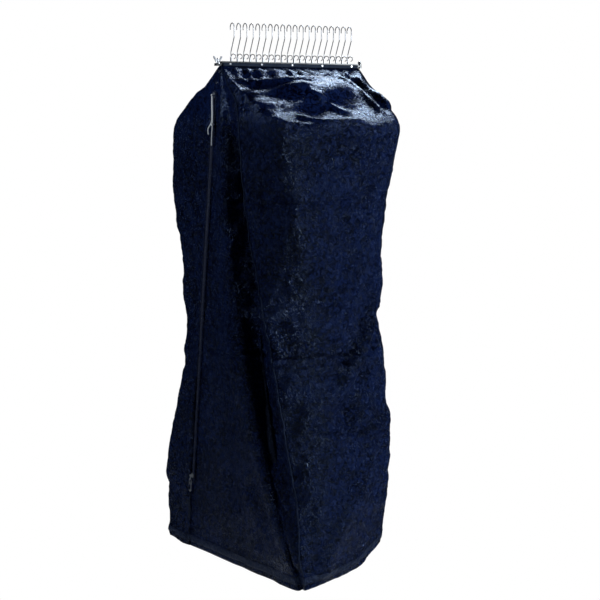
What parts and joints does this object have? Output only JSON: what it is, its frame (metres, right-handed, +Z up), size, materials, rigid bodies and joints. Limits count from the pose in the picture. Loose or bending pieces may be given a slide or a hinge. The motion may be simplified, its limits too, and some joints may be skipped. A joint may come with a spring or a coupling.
{
  "type": "garment bag",
  "caption": "Full-length soft garment bag hung from a rail by wire hangers gripped in a bar clamp with a wing nut; a two-way zipper with a cord pull closes one end panel.",
  "frame": {"origin": "on the axis of the rail that the hanger hooks go over, at the middle of the row of hooks", "axes": "+X along the rail, +Y across the shoulders towards the back, +Z up"},
  "size_m": [0.449, 0.604, 1.4789],
  "materials": {
    "bag_cloth": "crinkled coated nylon, semi-gloss",
    "binding_cloth": "bound edge tape",
    "bar_steel": "black enamel on steel",
    "grip_rubber": "matte",
    "hardware_chrome": "polished",
    "hanger_wire": "drawn wire",
    "zipper_tape": "woven tape",
    "zipper_teeth": "coil teeth",
    "slider_metal": "polished, worn",
    "cord_white": "braided cord"
  },
  "bodies": {
    "bag": {"back_clamp_bar": "bar_steel", "back_grip_strip": "grip_rubber", "back_header": "binding_cloth", "back_rivets": "hardware_chrome", "hinge_pin": "hardware_chrome", "clamp_stud": "hardware_chrome", "clamp_washer": "hardware_chrome", "hanger_01": "hanger_wire", "hanger_02": "hanger_wire", "hanger_03": "hanger_wire", "hanger_04": "hanger_wire", "hanger_05": "hanger_wire", "hanger_06": "hanger_wire", "hanger_07": "hanger_wire", "hanger_08": "hanger_wire", "hanger_09": "hanger_wire", "hanger_10": "hanger_wire", "hanger_11": "hanger_wire", "hanger_12": "hanger_wire", "hanger_13": "hanger_wire", "hanger_14": "hanger_wire", "hanger_15": "hanger_wire", "hanger_16": "hanger_wire", "hanger_17": "hanger_wire", "hanger_18": "hanger_wire", "hanger_19": "hanger_wire", "hanger_20": "hanger_wire", "front_gusset": "bag_cloth", "back_gusset": "bag_cloth", "bottom_panel": "bag_cloth", "right_end_panel": "bag_cloth", "left_panel_front": "bag_cloth", "left_panel_back": "bag_cloth", "left_piping": "binding_cloth", "right_piping": "binding_cloth", "hem_band": "binding_cloth", "zipper_tape_front": "zipper_tape", "zipper_tape_back": "zipper_tape", "zipper_chain": "zipper_teeth", "zipper_top_stop": "zipper_teeth", "zipper_bottom_stop": "zipper_teeth", "top_flap": "bag_cloth", "snap_caps": "hardware_chrome"},
    "front_clamp": {"front_clamp_bar": "bar_steel", "front_grip_strip": "grip_rubber", "front_header": "binding_cloth", "front_rivets": "hardware_chrome"},
    "wing_nut": {"wing_nut": "hardware_chrome"},
    "upper_slider": {"upper_slider": "slider_metal"},
    "pull_cord": {"cord_wrap": "cord_white", "pull_cord_long": "cord_white", "pull_cord_short": "cord_white", "pull_knot": "cord_white"},
    "lower_slider": {"lower_slider": "slider_metal"},
    "pull_tab": {"pull_tab": "slider_metal"}
  },
  "joints": [
    {"name": "clamp_hinge", "type": "hinge", "parent": "bag", "child": "front_clamp", "pos_m": [0.215, 0, -0.095], "axis": [0, 0, 1], "range_deg": [0, 6]},
    {"name": "wing_nut_turn", "type": "hinge", "parent": "bag", "child": "wing_nut", "pos_m": [-0.216, 0, -0.09], "axis": [0, 0, 1], "continuous": true},
    {"name": "upper_slider_run", "type": "slide", "parent": "bag", "child": "upper_slider", "axis": [0, 0.1599, -0.9871], "range_m": [0, 0.42]},
    {"name": "pull_cord_swing", "type": "hinge", "parent": "upper_slider", "child": "pull_cord", "pos_m": [-0.2149, 0.03992, -0.17685], "axis": [0, 0.9871, 0.1599], "range_deg": [0, 75]},
    {"name": "lower_slider_run", "type": "slide", "parent": "bag", "child": "lower_slider", "axis": [0, -0.1599, 0.9871], "range_m": [0, 0.4]},
    {"name": "pull_tab_swing", "type": "hinge", "parent": "lower_slider", "child": "pull_tab", "pos_m": [-0.2149, 0.21515, -1.25875], "axis": [0, 0.9871, 0.1599], "range_deg": [0, 100]}
  ]
}
